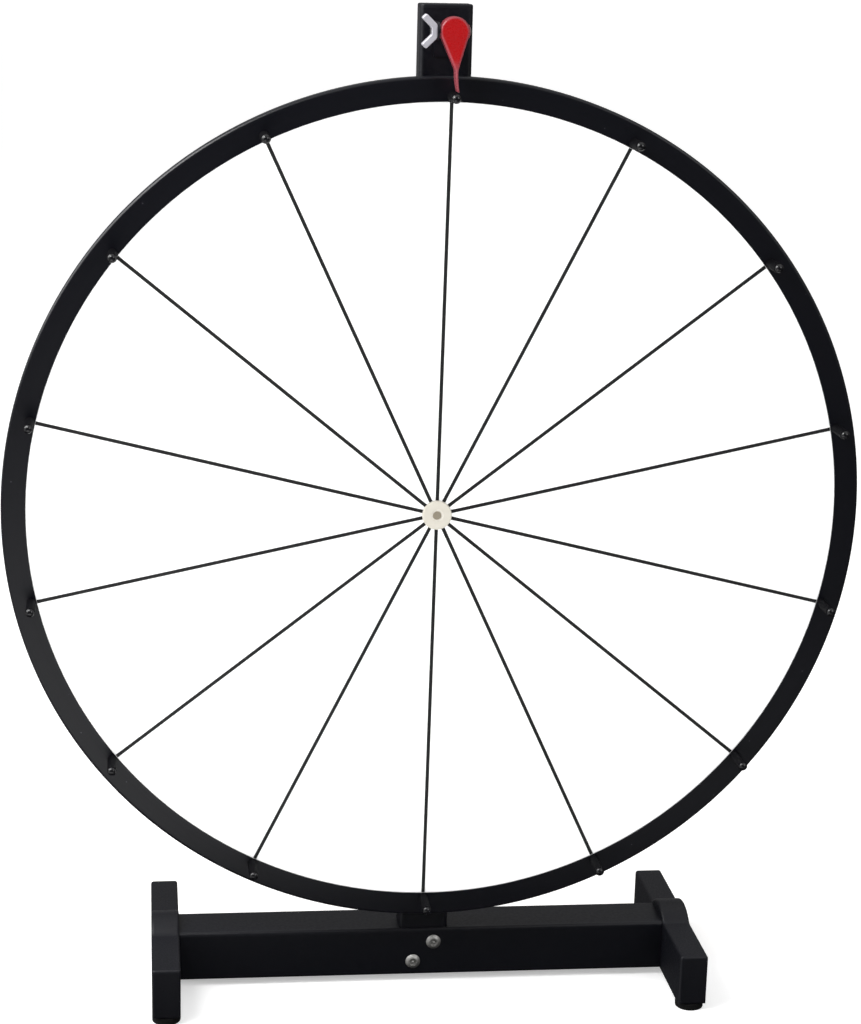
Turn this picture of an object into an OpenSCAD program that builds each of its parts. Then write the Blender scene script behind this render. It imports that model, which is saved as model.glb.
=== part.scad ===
// Tabletop prize wheel: a white disc with a black rim turns on a post, and a red
// flexible pointer clicks over the pegs on its rim.
// Millimetres. +X is the viewer's right, +Y is back, +Z is up. The origin is on the
// table, under the middle of the base.

/* [Wheel] */
// Diameter of the wheel over its rim
wheel_d = 610; // [400:10:800]
// Thickness of the wheel at its rim
wheel_t = 10; // [8:0.5:16]
// Width of the black rim band on the front face
band_w = 17.2; // [13:0.2:24]
// Thickness of the white sheet on the front of the board
face_t = 0.8; // [0.5:0.1:1.5]
// Gap between the peg screws' heads and the rim's back lip
back_lip_gap = 1.2; // [0.5:0.1:3]
// Thickness of the rim's two lips
lip_t = 1; // [0.8:0.1:1.5]
// Thickness of the rim's outer wall
rim_wall = 2.5; // [1.8:0.1:4]
// Radius of the rim's outer edges
rim_edge_r = 2.2; // [1:0.1:2.4]
// Number of sectors, and of pegs
sectors = 14; // [8:1:14]
// Turn of the first divider from the horizontal
wheel_turn = 12.3; // [0:0.1:25]
// Width of a divider line
divider_w = 2; // [1:0.1:4]
// Thickness of a divider line
divider_t = 0.25; // [0.1:0.05:0.5]

/* [Pegs] */
// Diameter of a peg
peg_d = 7; // [4:0.5:8]
// Length of a peg in front of the rim
peg_l = 26; // [18:1:30]
// Distance of a peg from the inner edge of the rim band
peg_inset = 0.2; // [0:0.1:2]
// Diameter of a peg's screw
peg_screw_d = 3; // [2:0.1:3.5]
// Length of screw in a peg
peg_thread_l = 8; // [4:0.5:10]

/* [Hub] */
// Diameter of the axle in the bearings
axle_d = 8; // [6:0.5:9]
// Diameter of the axle's threaded front end
axle_end_d = 6; // [4:0.5:6]
// Outer diameter of a bearing
bearing_d = 16; // [15:0.5:18]
// Width of a bearing
bearing_w = 4; // [3:0.1:4.2]
// Outer diameter of a bearing's inner ring
bearing_inner_d = 10.6; // [10:0.1:11]
// Outer diameter of the hub's barrel
barrel_d = 20; // [19.5:0.5:24]
// Diameter of the hub's flange
flange_d = 80; // [70:1:120]
// Thickness of the hub's flange
flange_t = 3; // [2.5:0.1:3.4]
// Diameter of the circle of flange screws
flange_pcd = 60; // [48:1:60]
// Diameter of a flange screw
flange_screw_d = 3.5; // [3:0.1:4]
// Diameter of the round nut in front of the hub
hub_nut_d = 20.8; // [18:0.1:28]
// Thickness of the round nut's flange
hub_nut_t = 2.6; // [2:0.1:5]

/* [Post] */
// Width of the post
post_w = 36; // [30:1:44]
// Depth of the post
post_d = 22; // [18:1:26]
// Wall of the post
post_wall = 2; // [1.5:0.1:2.5]
// Radius of the post's corners
post_r = 3; // [2.5:0.1:4]
// Height of the post above the pointer's bolt, with its cap
post_above_bolt = 17; // [16:1:60]
// Thickness of the post's cap
post_cap_t = 3; // [2:0.5:4]
// Depth of the cap's plug inside the post
post_plug_l = 10; // [6:1:11]
// Gap between the back of the wheel and the post
wheel_gap = 5.6; // [5:0.1:7]

/* [Base] */
// Width of the base over its feet
base_w = 405; // [300:5:600]
// Side of the square beam
beam_s = 38; // [34:1:50]
// Wall of the beam
beam_wall = 2; // [1.5:0.1:3]
// Corner radius of the beam
beam_r = 3; // [2.5:0.1:4]
// Gap between the rim and the beam
rim_gap = 17; // [10:1:40]
// Width of a foot
foot_w = 20.5; // [18:0.5:30]
// Length of a foot
foot_l = 162; // [150:1:260]
// Wall of a foot's moulding
foot_wall = 3; // [2:0.5:4]
// Rise of the hump over the middle of a foot
hump_h = 8; // [5:0.5:10]
// Radius of the hump's crown
hump_r = 30; // [24:1:36]
// Radius of the hollows beside the hump
hump_fillet_r = 8; // [4:0.5:12]
// Length of a foot's spigot inside the beam
spigot_l = 22; // [16:1:30]
// Distance of a rubber pad's edge inside the foot's sides
pad_inset = 0; // [0:0.25:3]
// Thickness of a rubber pad under the foot
pad_h = 5; // [4:0.5:8]
// Size of the slope round a pad's underside
pad_edge = 0.6; // [0.4:0.1:1.2]
// Diameter of a pad's stem
pad_stem_d = 7; // [5:0.5:8]
// Length of a pad's stem
pad_stem_l = 8; // [5:0.5:12]
// Diameter of a foot's screw
foot_screw_d = 4; // [3:0.5:5]

/* [Post screws] */
// Diameter of a post screw
post_screw_d = 6; // [4:0.5:6]
// Diameter of a post screw's head
post_screw_head_d = 11; // [8:0.5:12]
// Height of a post screw's head
post_screw_head_h = 3.2; // [2.5:0.1:4]
// Sideways distance of each post screw from the middle
post_screw_x = 7.6; // [6:0.1:8.5]
// Distance of each post screw above or below the beam's middle
post_screw_z = 7.75; // [6:0.05:9]
// Thickness of the nut plate in the post
nut_plate_t = 4; // [3:0.5:6]

/* [Pointer] */
// Sideways place of the pointer
pointer_x = 1.5; // [0:0.5:4]
// Height of the pointer's clamp bolt above the top of the rim
pointer_above_rim = 30; // [29:0.5:34]
// Distance of the pointer's middle in front of the rim
pointer_reach = 12; // [9:0.5:14]
// Depth of the pointer from front to back
pointer_depth = 12; // [10:0.5:14]
// Radius of the pointer's head
pointer_head_r = 9.8; // [8:0.1:11]
// Height of the neck above the top of the rim
neck_above_rim = 4.5; // [4:0.5:8]
// Sideways distance of the neck from the pointer's middle
neck_shift = 1.9; // [0:0.1:3]
// Thickness of the pointer at its neck
neck_t = 1.8; // [1.6:0.1:3]
// Thickness of the blade at its tip
tip_t = 1.2; // [1:0.1:2.4]
// Gap between the blade's tip and the peg that it rests beside
tip_gap = 0.6; // [0.3:0.1:1]
// Direction of the blade's tip from that peg's axis, above the horizontal
tip_angle = 66; // [40:1:70]
// Diameter of the pointer's boss at the bolt
pointer_boss_d = 9; // [8:0.5:10]
// Distance of the boss's flat ends past the head
pointer_boss_out = 0.3; // [0.2:0.1:1]
// Diameter of the clamp bolt
clamp_d = 5; // [3:0.5:6]
// Diameter of the clamp bolt's head
clamp_head_d = 7; // [6:0.5:8]
// Height of the clamp bolt's head
clamp_head_h = 1.4; // [1:0.1:3]
// Thickness of the pointer's bracket
bracket_t = 1.5; // [1:0.1:3]
// Height of the bracket's ear
ear_h = 12; // [11:0.5:16]
// Height of the bracket's plate on the post
plate_h = 24; // [22:1:26]
// Distance of the plate's middle below the pointer's bolt
plate_drop = 6; // [5:0.5:8]
// Width of the bracket's plate on the post
plate_w = 19; // [17:1:22]
// Diameter of a bracket screw
bracket_screw_d = 4; // [3:0.5:4]
// Thickness of the wing nut's base and wings
wing_t = 4; // [2:0.1:4.2]
// Length of a wing from the nut's base
wing_l = 9.5; // [7:0.5:14]
// Lean of a wing away from the bolt's axis
wing_lean = 44; // [15:1:50]
// Half height of the nut's base
wing_base_r = 5.4; // [4.6:0.1:6]
// Width of the wing nut from front to back
wing_w = 9; // [8:0.5:12]
// Height of the wing nut's threaded boss
wing_boss_h = 4; // [3:0.5:8]

/* [Clearances] */
// Radial clearance where a part turns
run_fit = 0.06; // [0.03:0.01:0.1]
// Clearance where parts are pushed together
seat_fit = 0.1; // [0.05:0.05:0.2]
// Clearance round a screw or a sliding plug
slip_fit = 0.2; // [0.1:0.05:0.4]
// Gap between the turning wheel and the fixed nut in front of it
face_gap = 0.4; // [0.3:0.1:0.8]

/* [Hidden] */
$fn = 64;
black_steel = "#17171a";
black_plastic = "#1c1c20";
rubber_black = "#101012";
board_white = "#fbfbf8";
board_brown = "#a98b62";
zinc = "#c9ccd2";
bright_steel = "#d8dade";
cream = "#eae6dc";
pointer_red = "#c0191f";

wheel_r = wheel_d / 2;
band_r = wheel_r - band_w;
peg_head_d = 6;
peg_head_h = 2;
peg_ring_r = band_r + peg_inset + peg_d / 2;
back_lip_r = peg_ring_r + peg_head_d / 2 + back_lip_gap;
pitch = 360 / sectors;
beam_z = pad_h + beam_s / 2;
hub_z = pad_h + beam_s + rim_gap + wheel_r;
bolt_up = wheel_r + pointer_above_rim;
post_front_y = -beam_s / 2 + beam_wall;
post_bottom_z = pad_h + beam_wall;
post_top_z = hub_z + bolt_up + post_above_bolt - post_cap_t;
foot_x = base_w / 2 - foot_w;
pad_d = foot_w - 2 * pad_inset;

// Depths in front of the post's front face, along the axle
wheel_back = wheel_gap;
wheel_front = wheel_gap + wheel_t;
board_back = wheel_back + lip_t;
board_front = wheel_front - lip_t;
face_back = board_front - face_t;
flange_back = board_back - flange_t;
flange_screw_end = face_back - 1;
bearing_lip_t = 1.2;
bearing_lip_d = bearing_inner_d + 2.4;
rear_bearing_at = flange_back + bearing_lip_t;
front_bearing_at = rear_bearing_at + bearing_w;
rings_front = front_bearing_at + bearing_w;
nut_flange_at = board_front + face_gap;
nut_front = nut_flange_at + hub_nut_t;
barrel_front = board_front - seat_fit;
axle_step_in = 0.2;
axle_end_recess = 0.4;
axle_head_w = 13;
axle_head_h = 5.3;
axle_washer_d = 18;
axle_washer_t = 1.6;
sleeve_wall = 2;

// The pointer's places. Its blade is bent aside where the top peg stands under it
top_peg_a = wheel_turn + round((90 - wheel_turn) / pitch) * pitch;
tip_off = peg_d / 2 + tip_gap + tip_t / 2;
tip_off_x = tip_off * cos(tip_angle);
neck_x = pointer_x + neck_shift;
peg_to_neck = neck_x - peg_ring_r * cos(top_peg_a);
blade_bend = peg_to_neck < -tip_off_x ? 0 : max(0, tip_off_x - peg_to_neck);
tip_up = peg_ring_r + tip_off * sin(tip_angle);
neck_up = wheel_r + neck_above_rim;
pointer_at = wheel_front + pointer_reach;
boss_reach = pointer_head_r + pointer_boss_out;
ear_right_x = pointer_x - boss_reach;
ear_left_x = ear_right_x - bracket_t;
plate_up = bolt_up - plate_drop;
plate_screw_x = ear_right_x + plate_w / 2 + 2;
plate_screw_in = 5;

flange_head_d = 2 * flange_screw_d;
pan_head = 2;
pan_head_h = 0.55;
plug_wall = 2;
foot_end_block = pad_d + 2;
foot_rib_t = 3;
foot_edge_r = 2;
spigot_wall = 3.5;
hump_half = sqrt(pow(hump_r + hump_fillet_r, 2) - pow(hump_r - hump_h + hump_fillet_r, 2));

function peg_name(i) = str("peg_", i < 10 ? "0" : "", i);

// Puts children in the hub's frame: x right, y up, z forward from the post's front face
module at_hub() {
    translate([0, post_front_y, hub_z]) rotate([90, 0, 0]) children();
}

// Repeats children on each divider's angle, in the hub's frame
module on_dividers() {
    for (i = [0 : sectors - 1]) rotate(wheel_turn + i * pitch) children();
}

// A rod along z, from one depth to another
module rod(d, from, to) {
    translate([0, 0, from]) cylinder(d = d, h = to - from);
}

// A tube along z, from one depth to another
module ring(d_out, d_in, from, to) {
    difference() {
        rod(d_out, from, to);
        rod(d_in, from - 1, to + 1);
    }
}

// A centred rectangle with round corners
module round_rect(w, h, r) {
    square([w - 2 * r, h], center = true);
    square([w, h - 2 * r], center = true);
    for (x = [-1, 1], y = [-1, 1]) translate([x * (w / 2 - r), y * (h / 2 - r)]) circle(r = r);
}

// A pan-headed screw with its head above z = 0 and its shank below
module pan_screw(d, l) {
    cylinder(d = pan_head * d, h = pan_head_h * d);
    translate([0, 0, -l]) cylinder(d = d, h = l);
}

// A domed head with a hexagonal socket, above z = 0
module socket_head(d, h) {
    dome_r = (pow(d / 2, 2) + h * h) / (2 * h);
    difference() {
        intersection() {
            cylinder(d = d, h = h);
            translate([0, 0, h - dome_r]) sphere(r = dome_r);
        }
        translate([0, 0, h / 3]) cylinder(d = d * 0.45, h = h, $fn = 6);
    }
}

// Places each of the two screws that hold the post in the beam, heads towards the viewer
module at_post_screws() {
    for (s = [-1, 1])
        translate([s * post_screw_x, -beam_s / 2, beam_z + s * post_screw_z]) rotate([90, 0, 0]) children();
}

// Places each screw that holds a foot in the beam's end, heads down
module at_foot_screws() {
    for (s = [-1, 1]) translate([s * (foot_x - spigot_l / 2), 0, pad_h]) rotate([180, 0, 0]) children();
}

module base_beam() {
    color(black_steel) difference() {
        translate([-foot_x, 0, beam_z]) rotate([90, 0, 90]) linear_extrude(2 * foot_x) difference() {
            round_rect(beam_s, beam_s, beam_r);
            square(beam_s - 2 * beam_wall, center = true);
        }
        translate([0, post_front_y + post_d / 2, beam_z + beam_s / 2])
            cube([post_w + 2 * slip_fit, post_d + 2 * slip_fit, 3 * beam_wall], center = true);
        at_post_screws() rod(post_screw_d + 2 * slip_fit, -2 * beam_wall, beam_wall);
        at_foot_screws() rod(foot_screw_d + 2 * slip_fit, -2 * beam_wall, beam_wall);
    }
}

// Side view of a foot: a bar with a rounded hump between two hollows
module foot_side() {
    crown_y = beam_s + hump_h - hump_r;
    touch = hump_r / (hump_r + hump_fillet_r);
    translate([0, beam_s / 2]) round_rect(foot_l, beam_s, foot_edge_r);
    intersection() {
        translate([0, crown_y]) circle(r = hump_r);
        translate([-hump_half, beam_s / 2]) square([2 * hump_half, beam_s]);
    }
    for (s = [-1, 1]) difference() {
        polygon([
            [0, beam_s / 2],
            [s * hump_half, beam_s / 2],
            [s * hump_half, beam_s],
            [s * hump_half * touch, crown_y + (beam_s + hump_fillet_r - crown_y) * touch],
            [0, beam_s]
        ]);
        translate([s * hump_half, beam_s + hump_fillet_r]) circle(r = hump_fillet_r);
    }
}

// Moulded foot in its own frame: x outward from the beam's end, z up from its underside
module foot() {
    pocket_from = hump_half + foot_wall;
    pocket_to = foot_l / 2 - foot_end_block;
    pocket_l = (pocket_to - pocket_from - foot_rib_t) / 2;
    spigot_s = beam_s - 2 * beam_wall - 2 * slip_fit;
    difference() {
        intersection() {
            rotate([90, 0, 90]) linear_extrude(foot_w) foot_side();
            translate([foot_w / 2, 0, 0]) linear_extrude(2 * beam_s) round_rect(foot_w, foot_l, foot_edge_r);
        }
        for (s = [0, 1], i = [0, 1]) mirror([0, s, 0])
            translate([foot_wall, pocket_from + i * (pocket_l + foot_rib_t), -1])
                cube([foot_w - 2 * foot_wall, pocket_l, beam_s - foot_wall + 1]);
        for (s = [-1, 1]) translate([foot_w / 2, s * (foot_l / 2 - pad_d / 2), 0])
            rod(pad_stem_d + 2 * seat_fit, -1, pad_stem_l + seat_fit);
    }
    translate([-spigot_l, 0, beam_s / 2]) rotate([90, 0, 90]) difference() {
        linear_extrude(spigot_l) round_rect(spigot_s, spigot_s, beam_r - beam_wall / 2);
        translate([0, 0, -1]) linear_extrude(spigot_l + 1)
            round_rect(spigot_s - 2 * spigot_wall, spigot_s - 2 * spigot_wall, 1);
        translate([0, 0, spigot_l / 2]) rotate([90, 0, 0]) rod(foot_screw_d + 2 * seat_fit, 0, beam_s);
    }
}

module foot_left() {
    color(black_plastic) translate([-foot_x, 0, pad_h]) mirror([1, 0, 0]) foot();
}

module foot_right() {
    color(black_plastic) translate([foot_x, 0, pad_h]) foot();
}

module foot_screws() {
    color(zinc) at_foot_screws() pan_screw(foot_screw_d, beam_wall + slip_fit + spigot_wall + 1);
}

// Round rubber pad under one end of a foot, with a stem pushed up into it
module pad(side, end) {
    color(rubber_black) translate([side * (base_w / 2 - foot_w / 2), end * (foot_l / 2 - pad_d / 2), 0]) {
        cylinder(d1 = pad_d - 2 * pad_edge, d2 = pad_d, h = pad_edge);
        translate([0, 0, pad_edge]) cylinder(d = pad_d, h = pad_h - pad_edge);
        cylinder(d = pad_stem_d, h = pad_h + pad_stem_l);
    }
}

module post() {
    post_h = post_top_z - post_bottom_z;
    color(black_steel) difference() {
        translate([0, post_front_y + post_d / 2, post_bottom_z]) linear_extrude(post_h) difference() {
            round_rect(post_w, post_d, post_r);
            round_rect(post_w - 2 * post_wall, post_d - 2 * post_wall, post_wall / 2);
        }
        at_hub() rod(axle_d + 2 * seat_fit, -post_d - 1, 1);
        at_post_screws() rod(post_screw_d + 2 * slip_fit, -beam_wall - 2 * post_wall, 0);
        at_bracket_screws() rod(bracket_screw_d + 2 * seat_fit, -2 * post_wall, post_wall);
    }
}

module post_cap() {
    plug_w = post_w - 2 * post_wall - 2 * seat_fit;
    plug_d = post_d - 2 * post_wall - 2 * seat_fit;
    color(black_plastic) translate([0, post_front_y + post_d / 2, post_top_z]) {
        linear_extrude(post_cap_t) round_rect(post_w, post_d, post_r);
        translate([0, 0, -post_plug_l]) linear_extrude(post_plug_l) difference() {
            round_rect(plug_w, plug_d, post_wall / 2);
            round_rect(plug_w - 2 * plug_wall, plug_d - 2 * plug_wall, post_wall / 2);
        }
    }
}

module post_nut_plate() {
    plate_x = 2 * post_screw_x + 2 * post_screw_d;
    plate_z = 2 * post_screw_z + 2 * post_screw_d;
    color(zinc) difference() {
        translate([-plate_x / 2, post_front_y + post_wall, beam_z - plate_z / 2])
            cube([plate_x, nut_plate_t, plate_z]);
        at_post_screws() rod(post_screw_d + 2 * seat_fit, -beam_s / 2, 0);
    }
}

module post_screws() {
    shank_l = beam_wall + post_wall + nut_plate_t + 2;
    color(bright_steel) at_post_screws() {
        socket_head(post_screw_head_d, post_screw_head_h);
        rod(post_screw_d, -shank_l, 0);
    }
}

module axle_bolt() {
    shank_from = -post_d - axle_washer_t;
    color(zinc) at_hub() {
        rod(axle_head_w / cos(30), shank_from - axle_head_h, shank_from, $fn = 6);
        rod(axle_d, shank_from, rings_front - axle_step_in);
        rod(axle_end_d, shank_from, nut_front - axle_end_recess);
    }
}

module axle_washer() {
    color(zinc) at_hub() ring(axle_washer_d, axle_d + 2 * slip_fit, -post_d - axle_washer_t, -post_d);
}

module axle_sleeve() {
    bore = axle_d + 2 * slip_fit;
    color(zinc) at_hub() ring(bore + 2 * sleeve_wall, bore, -post_d + post_wall, -post_wall);
}

module axle_spacer() {
    color(zinc) at_hub() ring(bearing_inner_d, axle_d + 2 * seat_fit, 0, rear_bearing_at);
}

module bearing_inner(from) {
    color(bright_steel) at_hub() ring(bearing_inner_d, axle_d + 2 * run_fit, from, from + bearing_w);
}

module bearing_outer(from) {
    color(zinc) at_hub() ring(bearing_d, bearing_inner_d + 2 * run_fit, from, from + bearing_w);
}

module hub_nut() {
    edge = hub_nut_t / 3;
    color(cream) at_hub() difference() {
        union() {
            rod(bearing_inner_d - slip_fit, rings_front, nut_flange_at);
            rod(hub_nut_d, nut_flange_at, nut_front - edge);
            translate([0, 0, nut_front - edge])
                cylinder(d1 = hub_nut_d, d2 = hub_nut_d - 2 * edge, h = edge);
        }
        rod(axle_end_d + 2 * run_fit, rings_front - 1, nut_front + 1);
    }
}

// A disc with the hub's hole and the peg screws' holes, from one depth to another
module drilled_disc(from, to) {
    difference() {
        rod(2 * (wheel_r - rim_wall - seat_fit), from, to, $fn = 256);
        rod(barrel_d + 2 * seat_fit, from - 1, to + 1);
        on_dividers() translate([peg_ring_r, 0, 0]) rod(peg_screw_d + 2 * seat_fit, from - 1, to + 1);
    }
}

module wheel_board() {
    color(board_brown) at_hub() difference() {
        drilled_disc(board_back, face_back);
        at_flange_screws() rod(flange_screw_d + 2 * seat_fit, 0, flange_screw_end - flange_back + seat_fit);
    }
}

module board_face() {
    color(board_white) at_hub() drilled_disc(face_back, board_front);
}

// The rim's section: a channel that holds the board's edge, with round outer edges
module rim_section() {
    edge_at = wheel_r - rim_edge_r;
    difference() {
        union() {
            translate([band_r, board_front]) square([edge_at - band_r, lip_t]);
            translate([back_lip_r, wheel_back]) square([edge_at - back_lip_r, lip_t]);
            translate([wheel_r - rim_wall, wheel_back + rim_edge_r])
                square([rim_wall, wheel_t - 2 * rim_edge_r]);
            for (z = [wheel_back + rim_edge_r, wheel_front - rim_edge_r])
                translate([edge_at, z]) circle(r = rim_edge_r);
        }
        translate([band_r - 1, board_back]) square([band_w - rim_wall + 1, board_front - board_back]);
    }
}

module rim_trim() {
    color(black_plastic) at_hub() difference() {
        rotate_extrude($fn = 256) rim_section();
        on_dividers() translate([peg_ring_r, 0, 0])
            rod(peg_screw_d + 2 * seat_fit, face_back, wheel_front + 1);
    }
}

module divider_lines() {
    line_from = hub_nut_d / 2;
    color(black_plastic) at_hub() on_dividers() translate([line_from, -divider_w / 2, board_front])
        cube([band_r - line_from - slip_fit, divider_w, divider_t]);
}

// Places each screw of the hub's flange, heads towards the post
module at_flange_screws() {
    for (a = [45 : 90 : 315]) rotate(a) translate([flange_pcd / 2, 0, flange_back]) children();
}

module flange_sink() {
    cylinder(d1 = flange_head_d, d2 = flange_screw_d, h = flange_screw_d / 2);
}

module hub_flange() {
    color(zinc) at_hub() difference() {
        union() {
            rod(flange_d, flange_back, board_back);
            rod(barrel_d, flange_back, barrel_front);
        }
        rod(bearing_lip_d, flange_back - 1, wheel_front);
        rod(bearing_d + 2 * run_fit, rear_bearing_at, wheel_front);
        at_flange_screws() {
            flange_sink();
            rod(flange_screw_d + 2 * seat_fit, -1, flange_t + 1);
        }
    }
}

module hub_screws() {
    color(zinc) at_hub() at_flange_screws() {
        flange_sink();
        rod(flange_screw_d, 0, flange_screw_end - flange_back);
    }
}

// Peg with a round tip, and a blind hole for its screw
module peg(i) {
    body_l = peg_l - peg_d / 2;
    place_a = wheel_turn + (i - 1) * pitch;
    color(black_plastic) at_hub() rotate(place_a) translate([peg_ring_r, 0, wheel_front]) difference() {
        union() {
            rod(peg_d, 0, body_l);
            intersection() {
                translate([0, 0, body_l]) sphere(d = peg_d);
                rod(2 * peg_d, body_l - 1, peg_l + 1);
            }
        }
        rod(peg_screw_d + 2 * run_fit, -1, peg_thread_l + seat_fit);
    }
}

module peg_screws() {
    color(zinc) at_hub() on_dividers() translate([peg_ring_r, 0, 0]) {
        rod(peg_head_d, board_back - peg_head_h, board_back);
        rod(peg_screw_d, board_back, wheel_front + peg_thread_l);
    }
}

// Places each screw of the pointer's bracket, heads towards the viewer
module at_bracket_screws() {
    for (s = [-1, 1]) at_hub() translate([plate_screw_x, plate_up + s * plate_h / 4, 0]) children();
}

// Bent sheet: a plate on the post, and an ear that reaches forward past the wheel
module pointer_bracket() {
    ear_low = bolt_up - ear_h / 2;
    color(black_steel) difference() {
        at_hub() union() {
            translate([ear_right_x, plate_up - plate_h / 2, 0])
                cube([plate_w - bracket_t, plate_h, bracket_t]);
            translate([ear_left_x, ear_low, bracket_t]) cube([bracket_t, ear_h, pointer_at - bracket_t]);
            intersection() {
                translate([ear_left_x, ear_low, 0]) cube([bracket_t, ear_h, bracket_t]);
                translate([ear_right_x, ear_low, bracket_t]) rotate([-90, 0, 0])
                    cylinder(r = bracket_t, h = ear_h);
            }
            at_clamp() rod(ear_h, ear_left_x, ear_right_x);
        }
        at_hub() at_clamp() rod(clamp_d + 2 * run_fit, ear_left_x - 1, ear_right_x + 1);
        at_bracket_screws() rod(bracket_screw_d + 2 * seat_fit, -bracket_t, 3 * bracket_t);
    }
}

module bracket_screws() {
    color(zinc) at_bracket_screws() translate([0, 0, bracket_t])
        pan_screw(bracket_screw_d, bracket_t + plate_screw_in);
}

// Puts children on the pointer's bolt, in the hub's frame, with z along +X
module at_clamp() {
    translate([0, bolt_up, pointer_at]) rotate([0, 90, 0]) children();
}

// Front view of the pointer's head: a circle and its tangents from both corners of the neck
module drop_outline() {
    drop = bolt_up - neck_up;
    left_x = neck_shift - neck_t / 2;
    right_x = neck_shift + neck_t / 2;
    function touch_a(x, side) = atan2(-drop, x) + side * acos(pointer_head_r / norm([x, drop]));
    function touch(x, side) = pointer_head_r * [cos(touch_a(x, side)), sin(touch_a(x, side))];
    translate([pointer_x, bolt_up]) {
        circle(r = pointer_head_r);
        polygon([[left_x, -drop], [right_x, -drop], touch(right_x, 1), touch(left_x, -1)]);
    }
}

module pointer_head() {
    color(pointer_red) at_hub() difference() {
        union() {
            translate([0, 0, pointer_at - pointer_depth / 2]) linear_extrude(pointer_depth) drop_outline();
            at_clamp() rod(pointer_boss_d, ear_right_x, ear_right_x + 2 * boss_reach);
        }
        at_clamp() rod(clamp_d + 2 * seat_fit, ear_right_x - 1, ear_right_x + 2 * boss_reach + 1);
    }
}

// The blade bends sideways with the square of the distance from the neck, and thins to its tip
module pointer_blade() {
    steps = 10;
    function blade_x(t) = neck_x + blade_bend * t * t;
    function blade_half(t) = (neck_t + (tip_t - neck_t) * t) / 2;
    function blade_y(t) = neck_up + (tip_up - neck_up) * t;
    function blade_edge(t, side) = [blade_x(t) + side * blade_half(t), blade_y(t)];
    color(pointer_red) at_hub() translate([0, 0, pointer_at - pointer_depth / 2])
        linear_extrude(pointer_depth) {
            polygon(concat(
                [for (i = [0 : steps]) blade_edge(i / steps, -1)],
                [for (i = [steps : -1 : 0]) blade_edge(i / steps, 1)]
            ));
            translate([blade_x(1), blade_y(1)]) circle(d = tip_t);
        }
}

module clamp_bolt() {
    head_x = pointer_x + boss_reach;
    color(zinc) at_hub() at_clamp() {
        rod(clamp_d, ear_left_x - wing_boss_h, head_x);
        translate([0, 0, head_x]) socket_head(clamp_head_d, clamp_head_h);
    }
}

// Side view of one wing: a bent strip that leans out from the end of the nut's base
module wing_side() {
    translate([-wing_t / 2, wing_base_r - wing_t / 2]) {
        circle(d = wing_t);
        rotate(180 - wing_lean) translate([0, -wing_t / 2]) square([wing_l, wing_t]);
    }
}

module wing_nut() {
    color(bright_steel) at_hub() translate([ear_left_x, bolt_up, pointer_at]) difference() {
        union() {
            translate([0, 0, -wing_w / 2]) linear_extrude(wing_w) {
                translate([-wing_t, -wing_base_r + wing_t / 2]) square([wing_t, 2 * wing_base_r - wing_t]);
                wing_side();
                mirror([0, 1]) wing_side();
            }
            rotate([0, -90, 0]) cylinder(d = wing_w, h = wing_boss_h);
        }
        translate([1, 0, 0]) rotate([0, -90, 0]) cylinder(d = clamp_d + 2 * run_fit, h = wing_boss_h + 2);
    }
}

base_beam();
foot_left();
foot_right();
foot_screws();
pad(-1, -1);  // pad_front_left
pad(1, -1);  // pad_front_right
pad(-1, 1);  // pad_rear_left
pad(1, 1);  // pad_rear_right
post();
post_cap();
post_nut_plate();
post_screws();
axle_bolt();
axle_washer();
axle_sleeve();
axle_spacer();
bearing_inner(front_bearing_at);  // front_bearing_inner
bearing_inner(rear_bearing_at);  // rear_bearing_inner
hub_nut();
pointer_bracket();
bracket_screws();
wheel_board();
board_face();
rim_trim();
divider_lines();
hub_flange();
hub_screws();
bearing_outer(front_bearing_at);  // front_bearing_outer
bearing_outer(rear_bearing_at);  // rear_bearing_outer
peg_screws();
pointer_head();
pointer_blade();
clamp_bolt();
wing_nut();
for (i = [1 : sectors]) peg(i);
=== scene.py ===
import logging
import math
from dataclasses import dataclass
from enum import Enum

import bmesh
import bpy
import numpy as np
from mathutils import Matrix, Vector


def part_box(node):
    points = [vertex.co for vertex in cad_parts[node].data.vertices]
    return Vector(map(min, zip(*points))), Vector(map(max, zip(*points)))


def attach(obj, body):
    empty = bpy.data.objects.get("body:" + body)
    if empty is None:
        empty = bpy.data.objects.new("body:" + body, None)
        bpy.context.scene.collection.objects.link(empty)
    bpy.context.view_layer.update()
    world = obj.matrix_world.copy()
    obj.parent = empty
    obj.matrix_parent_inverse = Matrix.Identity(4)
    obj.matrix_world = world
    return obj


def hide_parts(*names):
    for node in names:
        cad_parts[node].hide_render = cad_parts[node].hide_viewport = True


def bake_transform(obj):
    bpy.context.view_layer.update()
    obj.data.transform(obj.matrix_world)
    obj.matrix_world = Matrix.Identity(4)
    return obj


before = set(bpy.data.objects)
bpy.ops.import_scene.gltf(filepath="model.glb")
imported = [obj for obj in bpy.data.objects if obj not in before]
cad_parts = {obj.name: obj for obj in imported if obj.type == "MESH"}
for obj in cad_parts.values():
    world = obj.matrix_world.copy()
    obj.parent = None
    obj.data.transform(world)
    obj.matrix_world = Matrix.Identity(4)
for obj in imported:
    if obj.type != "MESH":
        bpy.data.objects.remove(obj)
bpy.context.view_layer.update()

LOG = logging.getLogger("prize_wheel")
MM = 0.001

Array = np.ndarray
Shell = tuple[Array, list[list[int]]]
Outline = tuple[Array, Array]
Place = tuple[float, float, float]

# Rows are the world directions of a shape's own x, y and z
UPRIGHT = np.array([[1, 0, 0], [0, 1, 0], [0, 0, 1]], float)
FACING = np.array([[1, 0, 0], [0, 0, 1], [0, -1, 0]], float)
SIDEWAYS = np.array([[0, 1, 0], [0, 0, 1], [1, 0, 0]], float)


class Body(Enum):
    """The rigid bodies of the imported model."""

    STAND = "stand"
    WHEEL = "wheel"
    POINTER = "pointer"
    BLADE = "pointer_flexure"
    NUT = "clamp_nut"


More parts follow.
